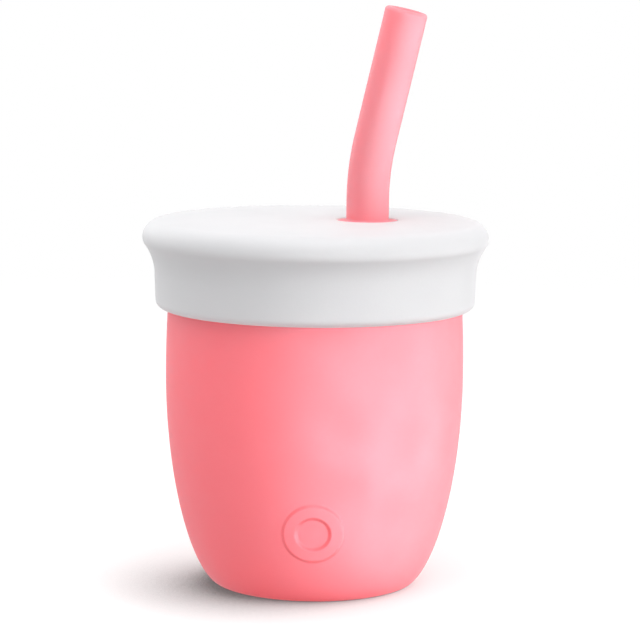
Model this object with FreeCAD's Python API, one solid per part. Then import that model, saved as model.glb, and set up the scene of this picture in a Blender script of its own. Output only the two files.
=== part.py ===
"""Toddler's training cup in three silicone mouldings: a barrel-shaped cup, a pull-on lid and a bent straw.

Millimetres, +Z up. The origin is the centre of the foot that the cup stands on, and the raised ring on the
front of the cup faces -Y. The lid grips the outside of the cup's rim and plugs its mouth. The straw drops
through an off-centre hole in the lid, where a collar and a retainer ring hold it.
"""

import FreeCAD, Part

import math
import os

from FreeCAD import Vector

# Cup, outside
CUP_HEIGHT = 82.4
FOOT_RADIUS = 22.6
FOOT_ROUND = 2.0
FOOT_LEAN = 47.5
FOOT_PULL = 7.2
BELLY_RADIUS = 34.55
BELLY_HEIGHT = 48.9
BELLY_PULL_DOWN = 23.8
BELLY_PULL_UP = 12.0
THROAT_RADIUS = 33.4
THROAT_LEAN = 3.0
THROAT_PULL = 8.0
LIP_SWELL = 0.5
LIP_HEIGHT = 3.6
LIP_TAPER = 2.6
LIP_ROUND = 1.1
FOOT_BAND = 4.2
DISH_DEPTH = 0.9

# Cup, inside
WALL = 3.0
FLOOR = 6.0
FLOOR_INSET = 4.8
FLOOR_ROUND = 9.0
FLOOR_LEAN = 25.0
FLOOR_PULL = 6.5
INNER_PULL_DOWN = 20.0

# Raised ring on the front of the cup
RING_HEIGHT = 17.4
RING_RADIUS = 6.7
RING_WIDTH = 3.0
RING_RELIEF = 0.6

# Lid
LID_PLATE = 2.6
LID_OVERLAP = 18.0
LID_CLEARANCE = 0.25
SKIRT_WALL = 2.84
SKIRT_TAPER = 0.2
BEAD_OVERHANG = 2.8
BEAD_TOP_ROUND = 4.3
BEAD_UNDER_ROUND = 2.8
BEAD_NECK_ROUND = 12.0
HEM_LEAD = 0.5
HEM_FLAT = 0.25
PLUG_DEPTH = 5.2
PLUG_WALL = 2.0
PLUG_TAPER = 0.4
PLUG_CHAMFER = 0.5
PLUG_CLEARANCE = 0.25
BOSS_WALL = 4.6
BOSS_DEPTH = 2.0

# Straw
STRAW_RADIUS = 4.9
STRAW_WALL = 1.8
STRAW_OFFSET = 12.1
STRAW_BEARING = -11.0
STRAW_LEAN = 13.3
STRAW_LEAN_BEARING = -15.0
BEND_RISE = 4.3
BEND_RADIUS = 62.0
TIP_LENGTH = 30.3
TIP_ROUND = 0.5
TAIL_GAP = 4.2
HOLE_CLEARANCE = 0.1
HOLE_CHAMFER = 0.2
COLLAR_LIP = 1.7
COLLAR_THICKNESS = 0.9
COLLAR_SINK = 0.25
COLLAR_CLEARANCE = 0.45
RETAINER_LIP = 1.8
RETAINER_THICKNESS = 1.5
RETAINER_GAP = 0.2
RETAINER_CONE = 3.2

# Sizes and places that follow from the ones above
THROAT_HEIGHT = CUP_HEIGHT - LIP_HEIGHT - LIP_TAPER
LIP_RADIUS = THROAT_RADIUS + LIP_SWELL
MOUTH_RADIUS = THROAT_RADIUS - WALL
LID_TOP = CUP_HEIGHT + LID_PLATE
HEM_HEIGHT = CUP_HEIGHT - LID_OVERLAP
HOLE_RADIUS = STRAW_RADIUS + HOLE_CLEARANCE
COLLAR_RADIUS = STRAW_RADIUS + COLLAR_LIP
COLLAR_SEAT = LID_TOP - COLLAR_SINK - COLLAR_THICKNESS
BOSS_BOTTOM = CUP_HEIGHT - BOSS_DEPTH
RETAINER_RADIUS = STRAW_RADIUS + RETAINER_LIP
RETAINER_BOTTOM = BOSS_BOTTOM - RETAINER_GAP - RETAINER_THICKNESS
STRAW_X = STRAW_OFFSET * math.cos(math.radians(STRAW_BEARING))
STRAW_Y = STRAW_OFFSET * math.sin(math.radians(STRAW_BEARING))
UP = Vector(0, 0, 1)
FORWARD = Vector(0, -1, 0)


def at(radius, height):
    """A point of a turned profile, in the XZ plane."""
    return Vector(radius, 0, height)


def polar(radius, degrees):
    """An offset in the XZ plane, with the angle counted from the horizontal."""
    angle = math.radians(degrees)
    return at(radius * math.cos(angle), radius * math.sin(angle))


def chain(*points):
    """Straight edges from each point to the next."""
    return [Part.LineSegment(start, end).toShape() for start, end in zip(points, points[1:])]


def arc(centre, radius, start_degrees, end_degrees):
    """An arc in the XZ plane from one angle to the other."""
    middle = (start_degrees + end_degrees) / 2
    points = [centre + polar(radius, degrees) for degrees in (start_degrees, middle, end_degrees)]
    return Part.Arc(*points).toShape()


def curve(*poles):
    """A Bezier curve: its ends lie on the first and last pole, and it leaves each towards the next."""
    bezier = Part.BezierCurve()
    bezier.setPoles(list(poles))
    return bezier.toShape()


def start_of(edge):
    return edge.valueAt(edge.FirstParameter)


def end_of(edge):
    return edge.valueAt(edge.LastParameter)


def turned(edges):
    """The solid that a closed profile in the XZ plane sweeps about the Z axis."""
    wire = Part.Wire(Part.__sortEdges__(edges))
    return Part.Face(wire).revolve(Vector(0, 0, 0), UP, 360)


def radius_at(edge, height):
    """Radius of a profile edge at a height. The edge's height rises all the way."""
    low, high = edge.ParameterRange
    for _ in range(60):
        middle = (low + high) / 2
        if edge.valueAt(middle).z < height:
            low = middle
        else:
            high = middle
    return edge.valueAt(low).x


def lower_barrel(proud=0.0):
    """The outside from the foot's round up to the belly, moved out by proud."""
    foot = at(FOOT_RADIUS, FOOT_ROUND) + polar(FOOT_ROUND + proud, -FOOT_LEAN)
    belly = at(BELLY_RADIUS + proud, BELLY_HEIGHT)
    return curve(foot, foot + polar(FOOT_PULL, 90 - FOOT_LEAN), belly - UP * BELLY_PULL_DOWN, belly)


def upper_barrel(inset=0.0):
    """The wall from the belly up to the throat, moved in from the outside by inset."""
    belly = at(BELLY_RADIUS - inset, BELLY_HEIGHT)
    throat = at(THROAT_RADIUS - inset, THROAT_HEIGHT)
    return curve(belly, belly + UP * BELLY_PULL_UP, throat - polar(THROAT_PULL, 90 + THROAT_LEAN), throat)


def outside_of_cup():
    """The cup's outer edges, from the axis over the shallow dish and the foot up to the top of the lip."""
    dish_radius = FOOT_RADIUS - FOOT_BAND
    return [
        *chain(at(0, DISH_DEPTH), at(dish_radius, DISH_DEPTH), at(dish_radius, 0), at(FOOT_RADIUS, 0)),
        arc(at(FOOT_RADIUS, FOOT_ROUND), FOOT_ROUND, -90, -FOOT_LEAN),
        lower_barrel(),
        upper_barrel(),
        *chain(
            at(THROAT_RADIUS, THROAT_HEIGHT),
            at(LIP_RADIUS, CUP_HEIGHT - LIP_HEIGHT),
            at(LIP_RADIUS, CUP_HEIGHT - LIP_ROUND),
        ),
        arc(at(LIP_RADIUS - LIP_ROUND, CUP_HEIGHT - LIP_ROUND), LIP_ROUND, 0, 90),
        *chain(at(LIP_RADIUS - LIP_ROUND, CUP_HEIGHT), at(0, CUP_HEIGHT), at(0, DISH_DEPTH)),
    ]


def inside_of_cup():
    """The edges of the space in the cup, from the axis over the mouth and down to the floor's corner."""
    corner = at(FOOT_RADIUS - FLOOR_INSET, FLOOR + FLOOR_ROUND)
    foot = corner + polar(FLOOR_ROUND, -FLOOR_LEAN)
    belly = at(BELLY_RADIUS - WALL, BELLY_HEIGHT)
    return [
        *chain(at(0, FLOOR), at(0, CUP_HEIGHT), at(MOUTH_RADIUS + LIP_ROUND, CUP_HEIGHT)),
        arc(at(MOUTH_RADIUS + LIP_ROUND, CUP_HEIGHT - LIP_ROUND), LIP_ROUND, 90, 180),
        *chain(at(MOUTH_RADIUS, CUP_HEIGHT - LIP_ROUND), at(MOUTH_RADIUS, THROAT_HEIGHT)),
        upper_barrel(WALL),
        curve(foot, foot + polar(FLOOR_PULL, 90 - FLOOR_LEAN), belly - UP * INNER_PULL_DOWN, belly),
        arc(corner, FLOOR_ROUND, -90, -FLOOR_LEAN),
        *chain(at(corner.x, FLOOR), at(0, FLOOR)),
    ]


def raised_ring():
    """The plain ring moulded proud of the front wall, with a face that follows the barrel."""
    skin = lower_barrel(RING_RELIEF)
    start, end = start_of(skin), end_of(skin)
    swollen = turned([skin, *chain(end, at(0, end.z), at(0, start.z), start)])
    middle = Vector(0, 0, RING_HEIGHT)
    disc = Part.makeCylinder(RING_RADIUS, BELLY_RADIUS + RING_RELIEF, middle, FORWARD)
    hole = Part.makeCylinder(RING_RADIUS - RING_WIDTH, BELLY_RADIUS + RING_RELIEF, middle, FORWARD)
    return disc.cut(hole).common(swollen)


def make_cup():
    return turned(outside_of_cup()).fuse(raised_ring()).cut(turned(inside_of_cup()))


def skirt_inside():
    """Inside radius of the lid's skirt: it clears the widest part of the cup that it passes over."""
    return max(radius_at(upper_barrel(), HEM_HEIGHT), LIP_RADIUS) + LID_CLEARANCE


def outside_of_lid():
    """The lid's outer edges, from the hem's round up the skirt and over the bead to the flat top."""
    skirt = skirt_inside() + SKIRT_WALL
    hem_round = SKIRT_WALL - SKIRT_TAPER - HEM_LEAD - HEM_FLAT
    hem = at(skirt - SKIRT_TAPER - hem_round, HEM_HEIGHT + hem_round)
    bead = skirt + BEAD_OVERHANG
    bead_height = LID_TOP - BEAD_TOP_ROUND
    rounds = BEAD_UNDER_ROUND + BEAD_NECK_ROUND
    flank = math.degrees(math.acos(1 - BEAD_OVERHANG / rounds))
    under = at(bead - BEAD_UNDER_ROUND, bead_height)
    neck = under + polar(rounds, -flank)
    return [
        arc(hem, hem_round, -90, 0),
        *chain(hem + at(hem_round, 0), neck - at(BEAD_NECK_ROUND, 0)),
        arc(neck, BEAD_NECK_ROUND, 180, 180 - flank),
        arc(under, BEAD_UNDER_ROUND, -flank, 0),
        arc(at(bead - BEAD_TOP_ROUND, bead_height), BEAD_TOP_ROUND, 0, 90),
        *chain(at(bead - BEAD_TOP_ROUND, LID_TOP), at(0, LID_TOP)),
    ]


def inside_of_lid():
    """The lid's inner edges, from the axis out over the plug ring and down the skirt to the hem."""
    skirt = skirt_inside()
    plug_outer = MOUTH_RADIUS - PLUG_CLEARANCE
    plug_inner = plug_outer - PLUG_WALL
    plug_tip = plug_outer - PLUG_TAPER
    plug_end = CUP_HEIGHT - PLUG_DEPTH
    return chain(
        at(0, LID_TOP),
        at(0, CUP_HEIGHT),
        at(plug_inner, CUP_HEIGHT),
        at(plug_inner, plug_end),
        at(plug_tip - PLUG_CHAMFER, plug_end),
        at(plug_tip, plug_end + PLUG_CHAMFER),
        at(plug_outer, CUP_HEIGHT),
        at(skirt, CUP_HEIGHT),
        at(skirt, HEM_HEIGHT + HEM_LEAD),
        at(skirt + HEM_LEAD, HEM_HEIGHT),
        at(skirt + HEM_LEAD + HEM_FLAT, HEM_HEIGHT),
    )


def on_straw(height):
    """The point of the straw hole's axis at a height."""
    return Vector(STRAW_X, STRAW_Y, height)


def make_lid():
    """The turned lid with its boss, and the straw's hole with its recess and chamfered edge."""
    recess_radius = COLLAR_RADIUS + COLLAR_CLEARANCE
    boss = Part.makeCylinder(HOLE_RADIUS + BOSS_WALL, BOSS_DEPTH + LID_PLATE / 2, on_straw(BOSS_BOTTOM))
    hole = Part.makeCylinder(HOLE_RADIUS, BOSS_DEPTH + 2 * LID_PLATE, on_straw(BOSS_BOTTOM - LID_PLATE))
    recess = Part.makeCylinder(recess_radius, LID_PLATE, on_straw(COLLAR_SEAT))
    chamfer = Part.makeCone(
        recess_radius, recess_radius + HOLE_CHAMFER, HOLE_CHAMFER, on_straw(LID_TOP - HOLE_CHAMFER)
    )
    return turned([*outside_of_lid(), *inside_of_lid()]).fuse(boss).cut([hole, recess, chamfer])


def straw_path():
    """The straw's centre line: up through the lid, round one gentle bend and straight on to the tip."""
    lean = math.radians(STRAW_LEAN)
    bearing = math.radians(STRAW_LEAN_BEARING)
    sideways = Vector(math.cos(bearing), math.sin(bearing), 0)
    tail = on_straw(FLOOR + TAIL_GAP)
    start = on_straw(LID_TOP + BEND_RISE)

    def along_bend(angle):
        return start + sideways * (BEND_RADIUS * (1 - math.cos(angle))) + UP * (BEND_RADIUS * math.sin(angle))

    end = along_bend(lean)
    tip = end + (sideways * math.sin(lean) + UP * math.cos(lean)) * TIP_LENGTH
    bend = Part.Arc(start, along_bend(lean / 2), end).toShape()
    return Part.Wire([*chain(tail, start), bend, *chain(end, tip)])


def tube(path, radius):
    """A solid round bar along a path that starts upwards."""
    section = Part.Wire(Part.makeCircle(radius, path.Vertexes[0].Point, UP))
    return path.makePipeShell([section], True, False)


def make_straw():
    """The bent tube with its collar, its retainer ring on a cone, and a rounded tip."""
    path = straw_path()
    tip = path.Vertexes[-1].Point
    collar = Part.makeCylinder(COLLAR_RADIUS, COLLAR_THICKNESS, on_straw(COLLAR_SEAT))
    retainer = Part.makeCylinder(RETAINER_RADIUS, RETAINER_THICKNESS, on_straw(RETAINER_BOTTOM))
    cone_foot = on_straw(RETAINER_BOTTOM - RETAINER_CONE)
    cone = Part.makeCone(STRAW_RADIUS, RETAINER_RADIUS, RETAINER_CONE, cone_foot)
    solid = tube(path, STRAW_RADIUS).fuse([collar, retainer, cone])
    straw = solid.cut(tube(path, STRAW_RADIUS - STRAW_WALL)).removeSplitter()
    return straw.makeFillet(TIP_ROUND, [edge for edge in straw.Edges if (edge.CenterOfMass - tip).Length < 0.01])


def main():
    os.makedirs("parts", exist_ok=True)
    for name, make in (("cup", make_cup), ("lid", make_lid), ("straw", make_straw)):
        shape = make()
        shape.exportStep(f"parts/{name}.step")
        print(name, shape.isValid(), len(shape.Solids), round(shape.Volume), "mm3")


main()
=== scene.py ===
"""The looks of a toddler's silicone training cup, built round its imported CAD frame.

Three mouldings are remade at full detail: the barrel-shaped cup with its raised ring, the beaded pull-on lid
and the bent straw. Sizes inside the classes are millimetres, and every finished piece is in metres.
"""

import logging
import math
from dataclasses import dataclass
from enum import Enum
from functools import cached_property

import bmesh
import bpy
from mathutils import Matrix, Vector
from mathutils.geometry import interpolate_bezier


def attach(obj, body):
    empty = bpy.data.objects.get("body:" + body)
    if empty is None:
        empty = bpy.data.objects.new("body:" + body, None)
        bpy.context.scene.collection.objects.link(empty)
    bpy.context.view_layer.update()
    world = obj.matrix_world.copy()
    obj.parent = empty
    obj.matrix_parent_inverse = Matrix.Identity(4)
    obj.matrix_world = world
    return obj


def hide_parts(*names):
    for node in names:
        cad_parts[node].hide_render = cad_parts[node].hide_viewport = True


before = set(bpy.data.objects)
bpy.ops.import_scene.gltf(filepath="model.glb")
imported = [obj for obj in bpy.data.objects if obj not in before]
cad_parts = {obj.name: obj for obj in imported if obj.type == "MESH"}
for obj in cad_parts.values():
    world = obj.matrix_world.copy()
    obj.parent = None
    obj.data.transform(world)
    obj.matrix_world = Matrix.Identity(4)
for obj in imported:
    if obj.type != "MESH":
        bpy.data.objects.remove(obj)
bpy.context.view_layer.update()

LOG = logging.getLogger("training_cup")
MM = 0.001
FULL_TURN = 2 * math.pi
UP = Vector((0.0, 0.0, 1.0))
CENTRE = Vector((0.0, 0.0, 0.0))
# Points closer than this, in millimetres, are one point
SAME_POINT = 0.001


class Body(Enum):
    """The CAD body that a piece rides on, which has the name of the node that the piece stands for."""

    CUP = "cup"
    LID = "lid"
    STRAW = "straw"


class Slot(Enum):
    """Material slot names for the pink and the white silicone."""

    PINK = "pink_silicone"
    WHITE = "white_silicone"


def linear(hex_colour: str) -> tuple[float, float, float, float]:
    """Turns an sRGB colour to the linear one that Blender works in.

    Args:
        hex_colour: The colour as "#RRGGBB".

    Returns:
        Linear red, green and blue, and an alpha of 1.
    """
    channels = [int(hex_colour[i : i + 2], 16) / 255 for i in (1, 3, 5)]
    red, green, blue = (c / 12.92 if c <= 0.04045 else ((c + 0.055) / 1.055) ** 2.4 for c in channels)
    return red, green, blue, 1.0


def add_node(
    tree: bpy.types.NodeTree,
    kind: str,
    settings: dict[str, object] | None = None,
    inputs: dict[str | int, object] | None = None,
) -> bpy.types.Node:
    """Adds a node with its settings and links.

    Args:
        tree: The node tree that gets the node.
        kind: The node's type, such as "ShaderNodeTexNoise".
        settings: The node's own properties, by name.
        inputs: What goes into its sockets, by name or number: another node's socket, or a plain value.

    Returns:
        The new node.
    """
    node = tree.nodes.new(kind)
    for name, value in (settings or {}).items():
        setattr(node, name, value)
    for name, value in (inputs or {}).items():
        if isinstance(value, bpy.types.NodeSocket):
            tree.links.new(value, node.inputs[name])
        else:
            node.inputs[name].default_value = value
    return node


def per_metre(size_mm: float) -> float:
    """The scale of a noise on Object coordinates whose blotches are about this many millimetres across."""
    return 1 / (size_mm * MM)


@dataclass(frozen=True)
class MouldedSilicone:
    """Platinum-cured silicone rubber, injection moulded in a lightly blasted tool.

    What that gives the eye: a satin skin with a broad, soft gloss and no sharp reflections, light that spreads
    a little under the skin so that edges and thin parts look warmer and softer, and a fine, even grain.

    Attributes:
        name: The material's name.
        colour: The silicone's colour.
        dense_colour: Its colour where the pigment is a little denser.
        roughness: The satin skin's roughness, at its middle.
        depth_mm: How far red, green and blue light spread under the skin.
        scatter: The share of light that goes under the skin.
        ior: How strongly the skin reflects, matched to the object.
        gloss_level: Strengthens its reflection at every angle but the flattest. It is matched to the broad pale
            gloss of the object, which is stronger than plain silicone's.
        gloss_tint: The colour of its reflections.
    """

    name: str
    colour: str
    dense_colour: str
    roughness: float
    depth_mm: tuple[float, float, float]
    scatter: float
    ior: float = 1.41
    gloss_level: float = 1.0
    gloss_tint: str = "#FFFFFF"
    # Real blasting leaves pits of about 0.05 mm, which no pixel shows, so the grain is drawn at 0.55 mm
    grain_mm: float = 0.55
    grain_height_mm: float = 0.012
    # The skin's slow waves from shrinking in the mould
    wave_mm: float = 14.0
    wave_height_mm: float = 0.02
    # Pigment that isn't stirred in quite evenly, and the film that fingers and washing leave
    cloud_mm: float = 22.0
    film_mm: float = 9.0
    film_spread: float = 0.04
    film_thin: float = 0.3
    film_thick: float = 0.7

    def material(self) -> bpy.types.Material:
        """Makes the material.

        Returns:
            The node material, which reads Object coordinates alone.
        """
        material = bpy.data.materials.new(self.name)
        material.use_nodes = True
        tree = material.node_tree
        tree.nodes.clear()
        place = add_node(tree, "ShaderNodeTexCoord").outputs["Object"]
        cloud = add_node(
            tree,
            "ShaderNodeTexNoise",
            inputs={"Vector": place, "Scale": per_metre(self.cloud_mm), "Detail": 3.0},
        )
        colour = add_node(
            tree,
            "ShaderNodeMix",
            {"data_type": "RGBA"},
            {"Factor": cloud.outputs["Fac"], "A": linear(self.colour), "B": linear(self.dense_colour)},
        )
        shader = add_node(
            tree,
            "ShaderNodeBsdfPrincipled",
            {"subsurface_method": "RANDOM_WALK"},
            {
                "Roughness": self._skin_gloss(tree, place),
                "Normal": self._skin_relief(tree, place),
                "IOR": self.ior,
                "Specular IOR Level": self.gloss_level,
                "Specular Tint": linear(self.gloss_tint),
                "Subsurface Weight": self.scatter,
                "Subsurface Radius": self.depth_mm,
                "Subsurface Scale": MM,
            },
        )
        tree.links.new(colour.outputs[2], shader.inputs["Base Color"])
        add_node(tree, "ShaderNodeOutputMaterial", inputs={"Surface": shader.outputs["BSDF"]})
        return material

    def _skin_gloss(self, tree: bpy.types.NodeTree, place: bpy.types.NodeSocket) -> bpy.types.NodeSocket:
        """Varies the roughness by the thin film that handling leaves.

        Args:
            tree: The material's node tree.
            place: The Object coordinates.

        Returns:
            The socket with the roughness.
        """
        film = add_node(
            tree,
            "ShaderNodeTexNoise",
            inputs={"Vector": place, "Scale": per_metre(self.film_mm), "Detail": 4.0},
        )
        spread = add_node(
            tree,
            "ShaderNodeMapRange",
            inputs={
                "Value": film.outputs["Fac"],
                "From Min": self.film_thin,
                "From Max": self.film_thick,
                "To Min": self.roughness - self.film_spread,
                "To Max": self.roughness + self.film_spread,
            },
        )
        return spread.outputs["Result"]

    def _skin_relief(self, tree: bpy.types.NodeTree, place: bpy.types.NodeSocket) -> bpy.types.NodeSocket:
        """Gives the skin its slow waves and, on them, its blasted grain.

        Args:
            tree: The material's node tree.
            place: The Object coordinates.

        Returns:
            The socket with the surface normal.
        """
        wave = add_node(
            tree,
            "ShaderNodeTexNoise",
            inputs={"Vector": place, "Scale": per_metre(self.wave_mm), "Detail": 1.0},
        )
        waves = add_node(
            tree,
            "ShaderNodeBump",
            inputs={"Strength": 1.0, "Distance": self.wave_height_mm * MM, "Height": wave.outputs["Fac"]},
        )
        grain = add_node(
            tree,
            "ShaderNodeTexNoise",
            inputs={"Vector": place, "Scale": per_metre(self.grain_mm), "Detail": 2.0},
        )
        grains = add_node(
            tree,
            "ShaderNodeBump",
            inputs={
                "Strength": 1.0,
                "Distance": self.grain_height_mm * MM,
                "Height": grain.outputs["Fac"],
                "Normal": waves.outputs["Normal"],
            },
        )
        return grains.outputs["Normal"]


class Pen:
    """Draws the half section of a turned piece, as a chain of edges from one point to the next.

    Attributes:
        mesh: The bmesh that holds the chain.
        axis: The point, in plan, of the upright axis that the section is later turned about.
    """

    def __init__(self, mesh: bmesh.types.BMesh, radius: float, height: float, axis: Vector = CENTRE) -> None:
        """Puts the pen down.

        Args:
            mesh: The bmesh to draw in.
            radius: The first point's distance from the axis.
            height: The first point's height.
            axis: The axis's place in plan.
        """
        self.mesh = mesh
        self.axis = axis
        self.tip = bmesh.ops.create_vert(mesh, co=self.place(radius, height))["vert"][0]
        self.drawn: list[bmesh.types.BMVert | bmesh.types.BMEdge] = [self.tip]

    def place(self, radius: float, height: float) -> Vector:
        """The point at a radius from the axis and a height."""
        return self.axis + Vector((radius, 0, height))

    def to(self, radius: float, height: float) -> "Pen":
        """Draws one edge.

        Args:
            radius: The edge's end, from the axis.
            height: The edge's end, above the floor.

        Returns:
            The pen.
        """
        made = bmesh.ops.extrude_vert_indiv(self.mesh, verts=[self.tip])
        self.tip = made["verts"][0]
        bmesh.ops.translate(self.mesh, verts=[self.tip], vec=self.place(radius, height) - self.tip.co)
        self.drawn += [*made["edges"], self.tip]
        return self

    def line(self, radius: float, height: float, hold: float = 0.25) -> "Pen":
        """Draws a straight run, with a point near each end that keeps its shading flat between rounds.

        Args:
            radius: The run's end, from the axis.
            height: The run's end, above the floor.
            hold: How far those points are from the ends.

        Returns:
            The pen.
        """
        start = self.tip.co - self.axis
        run = Vector((radius, 0, height)) - start
        if run.length > 3 * hold:
            for share in (hold / run.length, 1 - hold / run.length):
                self.to(start.x + run.x * share, start.z + run.z * share)
        return self.to(radius, height)

    def arc(self, radius: float, height: float, degrees: float, steps: int) -> "Pen":
        """Draws an arc from where the pen is.

        Args:
            radius: The arc's centre, from the axis.
            height: The arc's centre, above the floor.
            degrees: The angle it turns through, positive from outwards to upwards.
            steps: Its number of edges.

        Returns:
            The pen.
        """
        before = set(self.mesh.edges) | set(self.mesh.verts)
        made = bmesh.ops.spin(
            self.mesh,
            geom=[self.tip],
            cent=self.place(radius, height),
            axis=(0, -1, 0),
            angle=math.radians(degrees),
            steps=steps,
        )
        self.tip = next(g for g in made["geom_last"] if isinstance(g, bmesh.types.BMVert))
        self.drawn += [g for g in (*self.mesh.edges, *self.mesh.verts) if g not in before]
        return self

    def corner(self, out: tuple[float, float], on: tuple[float, float], size: float, steps: int = 6) -> "Pen":
        """Draws a straight run up to a rounded right-angled corner, and round it.

        Args:
            out: The sharp corner's radius and height.
            on: A point straight on from the corner, which gives the way out of it.
            size: The round's radius.
            steps: The round's number of edges.

        Returns:
            The pen.
        """
        start = self.tip.co - self.axis
        sharp, beyond = Vector((out[0], 0, out[1])), Vector((on[0], 0, on[1]))
        come, go = (sharp - start).normalized(), (beyond - sharp).normalized()
        first = sharp - come * size
        self.line(first.x, first.z)
        centre = first + go * size
        turn = math.degrees(math.atan2(come.x * go.z - come.z * go.x, come.dot(go)))
        return self.arc(centre.x, centre.z, turn, steps)

    def curve(self, points: list[Vector]) -> "Pen":
        """Draws through points that follow the pen's own, each from the axis and above the floor."""
        for point in points:
            self.to(point.x, point.z)
        return self

    def turn(self, steps: int) -> None:
        """Turns the section into a closed skin about the axis, in this many steps."""
        bmesh.ops.spin(
            self.mesh, geom=self.drawn, cent=self.axis, axis=UP, angle=FULL_TURN, steps=steps, use_merge=True
        )


def on_arc(radius: float, degrees: float) -> Vector:
    """The offset of a point on an arc in the section's plane, its angle counted from outwards to upwards."""
    angle = math.radians(degrees)
    return Vector((radius * math.cos(angle), 0, radius * math.sin(angle)))


def ring_at(mesh: bmesh.types.BMesh, axis: Vector, radius: float, height: float) -> list[bmesh.types.BMEdge]:
    """Finds a round edge loop.

    Args:
        mesh: The bmesh, in millimetres.
        axis: The loop's axis in plan.
        radius: The loop's radius.
        height: Its height.

    Returns:
        The loop's edges.
    """

    def on_ring(vertex: bmesh.types.BMVert) -> bool:
        """Whether a vertex is on the loop."""
        offset = vertex.co - axis
        return abs(offset.xy.length - radius) < 0.01 and abs(offset.z - height) < 0.01

    return [edge for edge in mesh.edges if all(map(on_ring, edge.verts))]


def finished(mesh: bmesh.types.BMesh, name: str) -> bpy.types.Object:
    """Closes a skin drawn in millimetres and makes it an object in metres.

    Args:
        mesh: The bmesh, which is freed.
        name: The piece's name.

    Returns:
        The object, at the origin, with its place in its mesh.

    Raises:
        ValueError: The skin isn't closed.
    """
    bmesh.ops.remove_doubles(mesh, verts=mesh.verts[:], dist=SAME_POINT)
    bmesh.ops.recalc_face_normals(mesh, faces=mesh.faces[:])
    bmesh.ops.scale(mesh, vec=(MM, MM, MM), verts=mesh.verts[:])
    if not all(edge.is_manifold for edge in mesh.edges):
        raise ValueError(f"{name} isn't closed")
    for face in mesh.faces:
        face.smooth = True
    data = bpy.data.meshes.new(name)
    mesh.to_mesh(data)
    mesh.free()
    piece = bpy.data.objects.new(name, data)
    bpy.context.scene.collection.objects.link(piece)
    return piece


def seat(piece: bpy.types.Object, body: Body, finish: MouldedSilicone) -> bpy.types.Object:
    """Dresses a piece and puts it in the frame in place of its CAD node.

    Args:
        piece: The finished piece.
        body: The body it rides on, and the node it stands for.
        finish: What it is made of.

    Returns:
        The piece.
    """
    piece.data.materials.append(finish.material())
    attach(piece, body.value)
    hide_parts(body.value)
    LOG.info("%s: %d faces, of %s", piece.name, len(piece.data.polygons), finish.name)
    return piece


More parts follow.
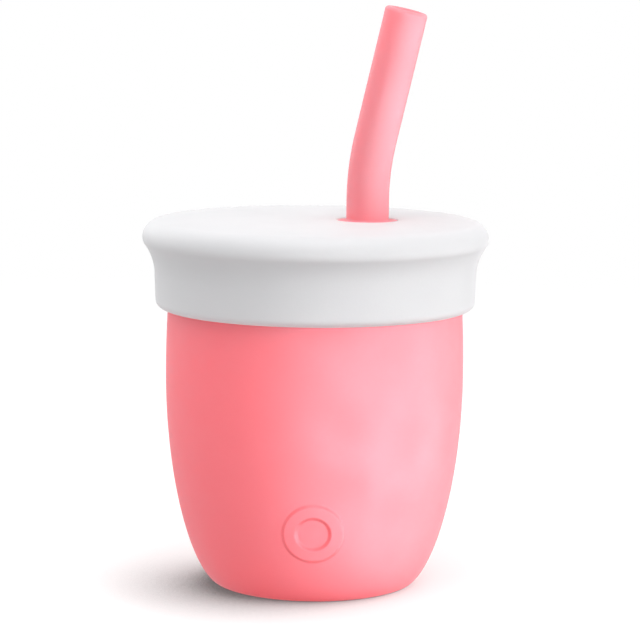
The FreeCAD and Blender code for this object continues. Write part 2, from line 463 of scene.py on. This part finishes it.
@dataclass
class CupMoulding:
    """The barrel-shaped cup: a foot with a dish under it, a swelling wall, a rolled lip and a raised ring."""

    finish: MouldedSilicone
    height: float = 82.4
    foot_radius: float = 22.6
    foot_round: float = 2.0
    foot_lean: float = 47.5
    foot_pull: float = 7.2
    belly_radius: float = 34.55
    belly_height: float = 48.9
    belly_pull_down: float = 23.8
    belly_pull_up: float = 12.0
    throat_radius: float = 33.4
    throat_height: float = 76.2
    throat_lean: float = 3.0
    throat_pull: float = 8.0
    lip_radius: float = 33.9
    lip_height: float = 3.6
    lip_round: float = 1.1
    dish_radius: float = 18.4
    dish_depth: float = 0.9
    dish_round: float = 0.4
    wall: float = 3.0
    floor: float = 6.0
    floor_inset: float = 4.8
    floor_round: float = 9.0
    floor_lean: float = 25.0
    floor_pull: float = 6.5
    inner_pull_down: float = 20.0
    ring_height: float = 17.4
    ring_radius: float = 5.2
    ring_width: float = 3.0
    ring_relief: float = 0.72
    ring_edge: float = 0.45
    ring_cuts: int = 7
    steps: int = 192

    def lower_barrel(self, points: int) -> list[Vector]:
        """Points of the outside from the foot's round up to the belly."""
        foot = Vector((self.foot_radius, 0, self.foot_round)) + on_arc(self.foot_round, -self.foot_lean)
        belly = Vector((self.belly_radius, 0, self.belly_height))
        leave = foot + on_arc(self.foot_pull, 90 - self.foot_lean)
        return interpolate_bezier(foot, leave, belly - UP * self.belly_pull_down, belly, points)

    def upper_barrel(self, inset: float, points: int) -> list[Vector]:
        """Points of the wall from the belly up to the throat, moved in by inset."""
        belly = Vector((self.belly_radius - inset, 0, self.belly_height))
        throat = Vector((self.throat_radius - inset, 0, self.throat_height))
        arrive = throat - on_arc(self.throat_pull, 90 + self.throat_lean)
        return interpolate_bezier(belly, belly + UP * self.belly_pull_up, arrive, throat, points)

    def lower_inside(self, points: int) -> list[Vector]:
        """Points of the inner wall from the floor's round up to the belly."""
        corner = Vector((self.foot_radius - self.floor_inset, 0, self.floor + self.floor_round))
        foot = corner + on_arc(self.floor_round, -self.floor_lean)
        belly = Vector((self.belly_radius - self.wall, 0, self.belly_height))
        leave = foot + on_arc(self.floor_pull, 90 - self.floor_lean)
        return interpolate_bezier(foot, leave, belly - UP * self.inner_pull_down, belly, points)

    def section(self, mesh: bmesh.types.BMesh) -> Pen:
        """Draws the cup's half section, from the dish under the foot over the lip and down to the floor.

        Args:
            mesh: The bmesh to draw in.

        Returns:
            The pen, ready to turn.
        """
        inner = self.throat_radius - self.wall
        corner = self.foot_radius - self.floor_inset
        top = self.height - self.lip_round
        pen = Pen(mesh, 0, self.dish_depth)
        pen.corner((self.dish_radius, self.dish_depth), (self.dish_radius, 0), self.dish_round)
        pen.corner((self.dish_radius, 0), (self.foot_radius, 0), self.dish_round)
        pen.line(self.foot_radius, 0)
        pen.arc(self.foot_radius, self.foot_round, 90 - self.foot_lean, 10)
        pen.curve(self.lower_barrel(44)[1:])
        pen.curve(self.upper_barrel(0, 24)[1:])
        pen.line(self.lip_radius, self.height - self.lip_height)
        pen.line(self.lip_radius, top)
        pen.arc(self.lip_radius - self.lip_round, top, 90, 10)
        pen.line(inner + self.lip_round, self.height)
        pen.arc(inner + self.lip_round, top, 90, 10)
        pen.line(inner, self.throat_height)
        pen.curve(self.upper_barrel(self.wall, 20)[-2::-1])
        pen.curve(self.lower_inside(34)[-2::-1])
        pen.arc(corner, self.floor + self.floor_round, self.floor_lean - 90, 16)
        return pen.line(0, self.floor)

    @cached_property
    def fine_skin(self) -> list[Vector]:
        """The lower outside as many close points, to read its radius from."""
        return self.lower_barrel(600)

    def skin_radius(self, height: float) -> float:
        """The outside's radius at a height below the belly."""
        points = self.fine_skin
        after = next(i for i, point in enumerate(points) if point.z > height)
        low, high = points[after - 1], points[after]
        return low.x + (high.x - low.x) * (height - low.z) / (high.z - low.z)

    def raise_ring(self, mesh: bmesh.types.BMesh) -> None:
        """Raises the plain ring on the front out of the wall, with soft moulded edges.

        Args:
            mesh: The turned cup, in millimetres.
        """
        reach = self.ring_radius + self.ring_width / 2 + 3 * self.ring_edge

        def from_middle(point: Vector) -> float:
            """The distance from the ring's middle, seen from the front."""
            return math.hypot(point.x, point.z - self.ring_height)

        def on_front(point: Vector) -> bool:
            """Whether a point is on the outer skin of the front, near the ring."""
            if point.y >= 0 or point.xy.length <= self.foot_radius + 3 or from_middle(point) >= reach + 2:
                return False
            return point.xy.length > self.skin_radius(point.z) - 1

        middles = {face: face.calc_center_median() for face in mesh.faces}
        front = [face for face, middle in middles.items() if on_front(middle) and from_middle(middle) < reach]
        edges = list({edge for face in front for edge in face.edges})
        bmesh.ops.subdivide_edges(mesh, edges=edges, cuts=self.ring_cuts, use_grid_fill=True)
        for vertex in mesh.verts:
            if not on_front(vertex.co):
                continue
            outward = vertex.co.xy.normalized()
            off_crest = abs(from_middle(vertex.co) - self.ring_radius) - self.ring_width / 2
            share = min(max(0.5 - off_crest / (2 * self.ring_edge), 0), 1)
            lift = self.ring_relief * share**3 * (share * (6 * share - 15) + 10)
            vertex.co.xy = outward * (self.skin_radius(vertex.co.z) + lift)

    def build(self) -> bpy.types.Object:
        """Makes the cup.

        Returns:
            The cup, seated in the frame.
        """
        mesh = bmesh.new()
        self.section(mesh).turn(self.steps)
        bmesh.ops.remove_doubles(mesh, verts=mesh.verts[:], dist=SAME_POINT)
        self.raise_ring(mesh)
        return seat(finished(mesh, "cup_moulding"), Body.CUP, self.finish)


@dataclass
class LidMoulding:
    """The pull-on lid: a nearly flat top, a flared bead, a skirt, a plug ring, the straw's recess and boss."""

    finish: MouldedSilicone
    top: float = 85.0
    underside: float = 82.4
    hem_height: float = 64.4
    skirt_inside: float = 34.363
    skirt_outside: float = 37.203
    hem_taper: float = 0.2
    hem_lead: float = 0.5
    hem_round: float = 1.89
    bead_radius: float = 40.003
    bead_top_round: float = 4.3
    crown_round: float = 80.0
    crown_fall: float = 6.0
    bead_under_round: float = 2.8
    bead_neck_round: float = 12.0
    plug_outside: float = 30.15
    plug_inside: float = 28.15
    plug_taper: float = 0.4
    plug_depth: float = 5.2
    plug_nose: float = 0.9
    seat_round: float = 0.5
    plug_root: float = 0.4
    plug_edge: float = 0.6
    plate_break: float = 24.5
    straw_x: float = 11.878
    straw_y: float = -2.309
    recess_radius: float = 7.05
    recess_seat: float = 83.85
    recess_edge: float = 0.2
    recess_corner: float = 0.3
    hole_edge: float = 0.25
    hole_radius: float = 5.0
    boss_radius: float = 9.6
    boss_bottom: float = 80.4
    boss_edge: float = 0.3
    boss_root_round: float = 0.8
    boss_blend: float = 0.6
    plate_margin: float = 1.2
    steps: int = 192
    hole_steps: int = 96

    def shell(self, mesh: bmesh.types.BMesh) -> Pen:
        """Draws the half section from the top, which falls softly at its edge, round the bead to the underside.

        Args:
            mesh: The bmesh to draw in.

        Returns:
            The pen, ready to turn.
        """
        bead_height = self.top - self.bead_top_round
        fall = math.radians(self.crown_fall)
        crown_run = self.crown_round * math.sin(fall)
        shoulder_round = (self.bead_top_round - self.crown_round * (1 - math.cos(fall))) / math.cos(fall)
        shoulder_centre = Vector((self.bead_radius - shoulder_round, 0, bead_height))
        shoulder = shoulder_centre + on_arc(shoulder_round, 90 - self.crown_fall)
        rounds = self.bead_under_round + self.bead_neck_round
        flank = math.degrees(math.acos(1 - (self.bead_radius - self.skirt_outside) / rounds))
        under = self.bead_radius - self.bead_under_round
        neck = Vector((under, 0, bead_height)) + on_arc(rounds, -flank)
        hem = self.skirt_outside - self.hem_taper - self.hem_round
        plug_end = self.underside - self.plug_depth
        plug_tip = self.plug_outside - self.plug_taper
        nose = Vector((plug_tip - self.plug_nose, 0, plug_end + self.plug_nose))
        pen = Pen(mesh, self.plate_break, self.top)
        pen.line(shoulder.x - crown_run, self.top)
        pen.arc(shoulder.x - crown_run, self.top - self.crown_round, -self.crown_fall, 8)
        pen.arc(shoulder_centre.x, bead_height, self.crown_fall - 90, 22)
        pen.arc(under, bead_height, -flank, 14)
        pen.arc(neck.x, neck.z, flank, 14)
        pen.line(hem + self.hem_round, self.hem_height + self.hem_round)
        pen.arc(hem, self.hem_height + self.hem_round, -90, 14)
        pen.line(self.skirt_inside + self.hem_lead, self.hem_height, hold=0.05)
        pen.line(self.skirt_inside, self.hem_height + self.hem_lead, hold=0.1)
        pen.corner((self.skirt_inside, self.underside), (self.plug_outside, self.underside), self.seat_round)
        pen.corner((self.plug_outside, self.underside), (self.plug_outside, plug_end), self.plug_root)
        pen.line(plug_tip, plug_end + self.plug_nose)
        pen.curve([nose + on_arc(self.plug_nose, -9.0 * i) for i in range(1, 11)])
        pen.corner((self.plug_inside, plug_end), (self.plug_inside, self.underside), self.plug_edge)
        pen.corner((self.plug_inside, self.underside), (self.plate_break, self.underside), self.plug_edge)
        return pen.line(self.plate_break, self.underside)

    def passage(self, mesh: bmesh.types.BMesh, axis: Vector) -> Pen:
        """Draws the half section of the straw's recess, hole and boss.

        Args:
            mesh: The bmesh to draw in.
            axis: The straw's axis in plan.

        Returns:
            The pen, ready to turn.
        """
        recess, hole, boss = self.recess_radius, self.hole_radius, self.boss_radius
        pen = Pen(mesh, recess + self.plate_margin, self.top, axis)
        pen.corner((recess, self.top), (recess, self.recess_seat), self.recess_edge)
        pen.corner((recess, self.recess_seat), (hole, self.recess_seat), self.recess_corner)
        pen.corner((hole, self.recess_seat), (hole, self.boss_bottom), self.hole_edge)
        pen.corner((hole, self.boss_bottom), (boss, self.boss_bottom), self.boss_edge)
        pen.corner((boss, self.boss_bottom), (boss, self.underside), self.boss_root_round)
        pen.corner((boss, self.underside), (boss + self.plate_margin, self.underside), self.boss_blend)
        return pen.line(boss + self.plate_margin, self.underside)

    def build(self) -> bpy.types.Object:
        """Makes the lid.

        Returns:
            The lid, seated in the frame.
        """
        mesh = bmesh.new()
        axis = Vector((self.straw_x, self.straw_y, 0))
        self.shell(mesh).turn(self.steps)
        self.passage(mesh, axis).turn(self.hole_steps)
        bmesh.ops.remove_doubles(mesh, verts=mesh.verts[:], dist=SAME_POINT)
        for height, radius in ((self.top, self.recess_radius), (self.underside, self.boss_radius)):
            rims = ring_at(mesh, CENTRE, self.plate_break, height)
            rims += ring_at(mesh, axis, radius + self.plate_margin, height)
            bmesh.ops.bridge_loops(mesh, edges=rims)
        return seat(finished(mesh, "lid_moulding"), Body.LID, self.finish)


@dataclass
class StrawMoulding:
    """The straw: a soft tube with a collar that sits in the lid, a retainer ring on a cone, and one bend."""

    finish: MouldedSilicone
    x: float = 11.878
    y: float = -2.309
    radius: float = 4.9
    bore: float = 3.1
    tail: float = 10.2
    tail_round: float = 0.6
    collar_radius: float = 6.95
    collar_bottom: float = 83.85
    collar_top: float = 84.85
    collar_root_round: float = 0.5
    collar_round: float = 0.3
    retainer_radius: float = 6.7
    retainer_bottom: float = 78.7
    retainer_top: float = 80.2
    retainer_round: float = 0.4
    small_round: float = 0.2
    cone_bottom: float = 75.5
    bend_start: float = 89.3
    bend_radius: float = 62.0
    bend_steps: int = 14
    lean: float = 13.3
    lean_bearing: float = -15.0
    tip_length: float = 30.3
    after_bend: float = 0.5
    before_tip: float = 1.0
    tip_round: float = 0.8
    steps: int = 96

    def section(self, mesh: bmesh.types.BMesh, axis: Vector) -> Pen:
        """Draws the straight length's half section, from the bend down over the collar and back up the bore.

        Args:
            mesh: The bmesh to draw in.
            axis: The straw's axis in plan.

        Returns:
            The pen, ready to turn.
        """
        pen = Pen(mesh, self.radius, self.bend_start, axis)
        tube, collar, retainer = self.radius, self.collar_radius, self.retainer_radius
        pen.corner((tube, self.collar_top), (collar, self.collar_top), self.collar_root_round)
        pen.corner((collar, self.collar_top), (collar, self.collar_bottom), self.collar_round)
        pen.corner((collar, self.collar_bottom), (tube, self.collar_bottom), self.small_round)
        pen.corner((tube, self.collar_bottom), (tube, self.retainer_top), self.small_round)
        pen.corner((tube, self.retainer_top), (retainer, self.retainer_top), self.small_round)
        pen.corner((retainer, self.retainer_top), (retainer, self.retainer_bottom), self.retainer_round)
        pen.line(retainer, self.retainer_bottom, hold=0.2)
        pen.line(tube, self.cone_bottom, hold=0.3)
        pen.corner((tube, self.tail), (self.bore, self.tail), self.tail_round)
        pen.corner((self.bore, self.tail), (self.bore, self.bend_start), self.tail_round)
        return pen.line(self.bore, self.bend_start)

    def bend_and_tip(self, mesh: bmesh.types.BMesh, axis: Vector) -> None:
        """Carries the tube round its bend and straight on, and rounds its end.

        Args:
            mesh: The turned straight length, open at the bend.
            axis: The straw's axis in plan.
        """
        bearing = math.radians(self.lean_bearing)
        lean = math.radians(self.lean)
        sideways = Vector((math.cos(bearing), math.sin(bearing), 0))
        along = sideways * math.sin(lean) + UP * math.cos(lean)
        start = axis + UP * self.bend_start
        open_ends = [edge for edge in mesh.edges if edge.is_boundary]
        rims = open_ends + list({vertex for edge in open_ends for vertex in edge.verts})
        bent = bmesh.ops.spin(
            mesh,
            geom=rims,
            cent=start + sideways * self.bend_radius,
            axis=UP.cross(sideways),
            angle=lean,
            steps=self.bend_steps,
        )
        rims = [g for g in bent["geom_last"] if isinstance(g, bmesh.types.BMEdge)]
        middle = self.tip_length - self.after_bend - self.before_tip
        for length in (self.after_bend, middle, self.before_tip):
            grown = bmesh.ops.extrude_edge_only(mesh, edges=rims)["geom"]
            rims = [g for g in grown if isinstance(g, bmesh.types.BMEdge)]
            ends = [g for g in grown if isinstance(g, bmesh.types.BMVert)]
            bmesh.ops.translate(mesh, verts=ends, vec=along * length)
        rims = [edge for edge in mesh.edges if edge.is_boundary]
        bmesh.ops.bridge_loops(mesh, edges=rims)
        bmesh.ops.bevel(
            mesh,
            geom=rims,
            offset=self.tip_round,
            offset_type="OFFSET",
            affect="EDGES",
            segments=6,
            profile=0.5,
            material=-1,
        )

    def build(self) -> bpy.types.Object:
        """Makes the straw.

        Returns:
            The straw, seated in the frame.
        """
        mesh = bmesh.new()
        axis = Vector((self.x, self.y, 0))
        self.section(mesh, axis).turn(self.steps)
        bmesh.ops.remove_doubles(mesh, verts=mesh.verts[:], dist=SAME_POINT)
        self.bend_and_tip(mesh, axis)
        return seat(finished(mesh, "straw_moulding"), Body.STRAW, self.finish)


@dataclass(frozen=True)
class SoftBox:
    """A square studio lamp.

    Attributes:
        name: The lamp's name.
        place: Where it stands, in metres.
        aim: The point it faces, in metres.
        side: The length of its side, in metres.
        power: Its power, in watts.
    """

    name: str
    place: tuple[float, float, float]
    aim: tuple[float, float, float]
    side: float
    power: float

    def light(self) -> None:
        """Puts the lamp in the scene."""
        lamp = bpy.data.lights.new(self.name, "AREA")
        lamp.shape = "SQUARE"
        lamp.size = self.side
        lamp.energy = self.power
        stand = bpy.data.objects.new(self.name, lamp)
        stand.location = self.place
        stand.rotation_euler = (Vector(self.aim) - Vector(self.place)).to_track_quat("-Z", "Y").to_euler()
        bpy.context.scene.collection.objects.link(stand)


@dataclass
class Studio:
    """The white studio: the camera where the photograph was taken, lamps, a pale floor and a white surround.

    Attributes:
        wall_side: The way to the middle of the studio's bright wall.
        wall_spread: How squarely a reflection faces the wall where it starts to show and where it shows fully.
        wall_height: The slopes of a reflection between which the wall fades out upwards.
        wall_top: The share of the wall's brightness that is left above that.
        wall_gloss: How much brighter the wall is in the silicone's gloss than the white round it.
        foot_slopes: The downward slopes over which the reflected surround darkens, as it does under the object.
        foot_gloss: The share of it that is left below those slopes.
        shade_side: The way to the middle of the light that the object keeps from the floor, in the shadow that
            is painted on the paper.
        shade_reach: How far off the object still shades the floor.
        shade_easing: How gently the shadow fades out.
        shade_depth: How dark it gets for the light that is blocked.
        shade_floor: Its darkest tone, at the foot.
        shade_samples: How many ways the paper looks out for the object.
        paper_colour: The paper's colour, to all but the camera.
        paper_shown: Its colour to the camera, which the lift is added to.
        paper_lift: The share of the floor's white that doesn't depend on the lamps.
    """

    camera_place: tuple[float, float, float] = (0.0, -0.5913, 0.1435)
    camera_down: float = 7.92
    camera_right: float = 0.113
    camera_roll: float = 0.531
    lens: float = 144.61
    floor_radius: float = 0.8
    floor_fade: tuple[float, float] = (0.25, 0.6)
    shade_side: tuple[float, float, float] = (0.76, 0.48, 0.43)
    shade_reach: float = 0.035
    shade_easing: float = 2.4
    shade_depth: float = 2.0
    shade_floor: float = 0.16
    shade_samples: int = 16
    paper_colour: str = "#CACACA"
    paper_shown: str = "#AAAAAA"
    paper_lift: float = 0.62
    surround_light: float = 0.78
    wall_side: tuple[float, float, float] = (0.777, -0.629, 0.0)
    wall_spread: tuple[float, float] = (-0.05, 0.83)
    wall_height: tuple[float, float] = (-0.2, 0.3)
    wall_top: float = 0.15
    wall_gloss: float = 7.8
    foot_slopes: tuple[float, float] = (-1.0, -0.45)
    foot_gloss: float = 0.2
    lamps: tuple[SoftBox, ...] = (
        SoftBox("key_softbox", (0.70, -0.30, 0.35), (0.0, 0.0, 0.05), 0.5, 1.4),
        SoftBox("fill_softbox", (-0.55, 0.45, 0.35), (0.0, 0.0, 0.05), 0.5, 1.3),
        SoftBox("overhead_softbox", (-0.05, -0.30, 0.85), (0.0, 0.0, 0.05), 0.7, 4.8),
    )

    def camera(self) -> None:
        """Puts the camera where the photograph was taken from."""
        data = bpy.data.cameras.new("camera")
        data.lens = self.lens
        data.sensor_width = 36.0
        data.clip_start = 0.01
        camera = bpy.data.objects.new("camera", data)
        camera.matrix_world = (
            Matrix.Translation(self.camera_place)
            @ Matrix.Rotation(-math.radians(self.camera_right), 4, "Z")
            @ Matrix.Rotation(math.radians(90 - self.camera_down), 4, "X")
            @ Matrix.Rotation(math.radians(self.camera_roll), 4, "Z")
        )
        bpy.context.scene.collection.objects.link(camera)
        bpy.context.scene.camera = camera

    def surround(self) -> None:
        """Makes the world white for the camera and in reflections, and a plain soft light otherwise."""
        world = bpy.data.worlds.new("white_surround")
        bpy.context.scene.world = world
        # Sampled through the surfaces alone, because lamp sampling can't tell gloss from other light
        world.cycles.sampling_method = "NONE"
        world.use_nodes = True
        tree = world.node_tree
        tree.nodes.clear()
        path = add_node(tree, "ShaderNodeLightPath").outputs
        seen = path["Is Camera Ray"]
        for ray in ("Is Transmission Ray", "Is Glossy Ray"):
            either = add_node(tree, "ShaderNodeMath", {"operation": "MAXIMUM"}, {0: seen, 1: path[ray]})
            seen = either.outputs[0]
        plain = add_node(
            tree, "ShaderNodeMapRange", inputs={"Value": seen, "To Min": self.surround_light, "To Max": 1.0}
        )
        strength = self.gloss_on(tree, plain.outputs["Result"], path["Is Glossy Ray"])
        white = add_node(
            tree, "ShaderNodeBackground", inputs={"Color": linear("#FFFFFF"), "Strength": strength}
        )
        add_node(tree, "ShaderNodeOutputWorld", inputs={"Surface": white.outputs["Background"]})

    def gloss_on(
        self, tree: bpy.types.NodeTree, plain: bpy.types.NodeSocket, glossy: bpy.types.NodeSocket
    ) -> bpy.types.NodeSocket:
        """Adds what only the gloss shows of the studio: its bright wall, and the dark under the object.

        Args:
            tree: The world's node tree.
            plain: The surround's strength without them.
            glossy: The socket that is 1 in a reflection.

        Returns:
            The socket with the strength.
        """
        way = add_node(tree, "ShaderNodeTexCoord").outputs["Generated"]
        slope = add_node(tree, "ShaderNodeSeparateXYZ", inputs={0: way}).outputs["Z"]
        facing = add_node(
            tree, "ShaderNodeVectorMath", {"operation": "DOT_PRODUCT"}, {0: way, 1: self.wall_side}
        ).outputs["Value"]
        fades: dict[str, bpy.types.NodeSocket] = {}
        for name, value, span, ends in (
            ("towards the wall", facing, self.wall_spread, (0.0, self.wall_gloss)),
            ("above the wall", slope, self.wall_height, (1.0, self.wall_top)),
            ("under the object", slope, self.foot_slopes, (self.foot_gloss, 1.0)),
        ):
            numbers = dict(zip(("From Min", "From Max", "To Min", "To Max"), (*span, *ends)))
            smooth = {"interpolation_type": "SMOOTHSTEP"}
            fade = add_node(tree, "ShaderNodeMapRange", smooth, {"Value": value, **numbers})
            fades[name] = fade.outputs["Result"]
        gloss = fades["towards the wall"]
        for operation, other in (
            ("MULTIPLY", fades["above the wall"]),
            ("ADD", plain),
            ("MULTIPLY", fades["under the object"]),
        ):
            gloss = add_node(tree, "ShaderNodeMath", {"operation": operation}, {0: gloss, 1: other}).outputs[0]
        return add_node(
            tree, "ShaderNodeMix", {"data_type": "FLOAT"}, {"Factor": glossy, "A": plain, "B": gloss}
        ).outputs["Result"]

    def paper(self) -> bpy.types.Material:
        """Makes the floor's matt white paper, which fades into the surround and shows the camera a soft shadow
        of the object painted into its colour, on top of the real shading it gets.

        Returns:
            The node material.
        """
        material = bpy.data.materials.new("matt_white_paper")
        material.use_nodes = True
        tree = material.node_tree
        tree.nodes.clear()
        smooth = {"interpolation_type": "SMOOTHSTEP"}
        place = add_node(tree, "ShaderNodeTexCoord").outputs["Object"]
        far = add_node(tree, "ShaderNodeVectorMath", {"operation": "LENGTH"}, {0: place}).outputs["Value"]
        near, gone = self.floor_fade
        fade = add_node(tree, "ShaderNodeMapRange", smooth, {"Value": far, "From Min": near, "From Max": gone})
        # How much of the bright side of the studio each spot of the paper has clear in front of it, which is
        # turned below into a shadow painted on the paper
        side = add_node(tree, "ShaderNodeCombineXYZ", inputs=dict(enumerate(self.shade_side))).outputs["Vector"]
        clear_view = add_node(
            tree,
            "ShaderNodeAmbientOcclusion",
            {"samples": self.shade_samples},
            {"Distance": self.shade_reach, "Normal": side},
        ).outputs["AO"]
        shade = clear_view
        for operation, numbers in (
            ("MULTIPLY_ADD", {1: -1.0, 2: 1.0}),
            ("POWER", {1: self.shade_easing}),
            ("MULTIPLY_ADD", {1: -self.shade_depth, 2: 1.0}),
            ("MAXIMUM", {1: self.shade_floor}),
        ):
            shade = add_node(tree, "ShaderNodeMath", {"operation": operation}, {0: shade, **numbers}).outputs[0]
        matt = add_node(tree, "ShaderNodeBsdfDiffuse", inputs={"Color": linear(self.paper_colour)})
        # Painted shadow: the paper's colour to the camera, and its glow, are darkened by that shade
        painted_shadow_tone = add_node(
            tree,
            "ShaderNodeMix",
            {"data_type": "RGBA"},
            {"Factor": shade, "A": linear("#000000"), "B": linear(self.paper_shown)},
        )
        held = add_node(tree, "ShaderNodeBsdfDiffuse", inputs={"Color": painted_shadow_tone.outputs["Result"]})
        glow = add_node(tree, "ShaderNodeMath", {"operation": "MULTIPLY"}, {0: shade, 1: self.paper_lift})
        lift = add_node(tree, "ShaderNodeEmission", inputs={"Strength": glow.outputs[0]})
        shown = add_node(tree, "ShaderNodeAddShader", inputs={0: held.outputs[0], 1: lift.outputs[0]})
        # The camera sees the paper as white as the surround, but the paper lights the object as real paper does
        seen = add_node(tree, "ShaderNodeLightPath").outputs["Is Camera Ray"]
        sheet = add_node(tree, "ShaderNodeMixShader", inputs={0: seen, 1: matt.outputs[0], 2: shown.outputs[0]})
        clear = add_node(tree, "ShaderNodeBsdfTransparent")
        layers = {0: fade.outputs["Result"], 1: sheet.outputs[0], 2: clear.outputs[0]}
        blend = add_node(tree, "ShaderNodeMixShader", inputs=layers)
        add_node(tree, "ShaderNodeOutputMaterial", inputs={"Surface": blend.outputs[0]})
        return material

    def floor(self) -> None:
        """Lays the floor that keeps the object's shadow."""
        mesh = bmesh.new()
        bmesh.ops.create_circle(mesh, cap_ends=True, segments=96, radius=self.floor_radius)
        data = bpy.data.meshes.new("floor")
        mesh.to_mesh(data)
        mesh.free()
        data.materials.append(self.paper())
        floor = bpy.data.objects.new("floor", data)
        # The gloss looks past the paper to the surround, which stands for the lit studio further out
        floor.visible_glossy = False
        bpy.context.scene.collection.objects.link(floor)

    def build(self) -> None:
        """Sets the whole studio up."""
        bpy.context.scene.view_settings.view_transform = "Standard"
        self.camera()
        self.surround()
        self.floor()
        for lamp in self.lamps:
            lamp.light()
        LOG.info("studio: %d lamps", len(self.lamps))


# Pink platinum silicone, injection moulded in a blasted tool: a satin coral skin under a broad, cool sheen
PINK = MouldedSilicone(
    name="pink_moulded_silicone",
    colour="#FE686F",
    dense_colour="#FC646B",
    roughness=0.6,
    depth_mm=(4.5, 0.45, 0.45),
    scatter=0.8,
    ior=1.6,
    gloss_tint="#F4EEFF",
)
# The straw's thin wall lets more light through than the cup's, so its pink is painted paler than the cup's to
# stand in for that light
PINK_PAINTED_PALER = MouldedSilicone(
    name="pink_silicone_painted_paler",
    colour="#FC8188",
    dense_colour="#FA7C83",
    roughness=0.6,
    depth_mm=(4.5, 1.2, 1.2),
    scatter=1.0,
    ior=1.47,
    gloss_tint="#F4EEFF",
)
# White platinum silicone, moulded the same way: more opaque, with soft grey shading and the same satin sheen
WHITE = MouldedSilicone(
    name="white_moulded_silicone",
    colour="#C8C8CA",
    dense_colour="#C5C5C7",
    roughness=0.6,
    depth_mm=(2.8, 2.6, 2.6),
    scatter=0.8,
)


def main() -> None:
    """Builds the pieces and the studio in order."""
    logging.basicConfig(level=logging.INFO)
    CupMoulding(PINK).build()
    LidMoulding(WHITE).build()
    StrawMoulding(PINK_PAINTED_PALER).build()
    Studio().build()


if __name__ == "__main__":
    main()
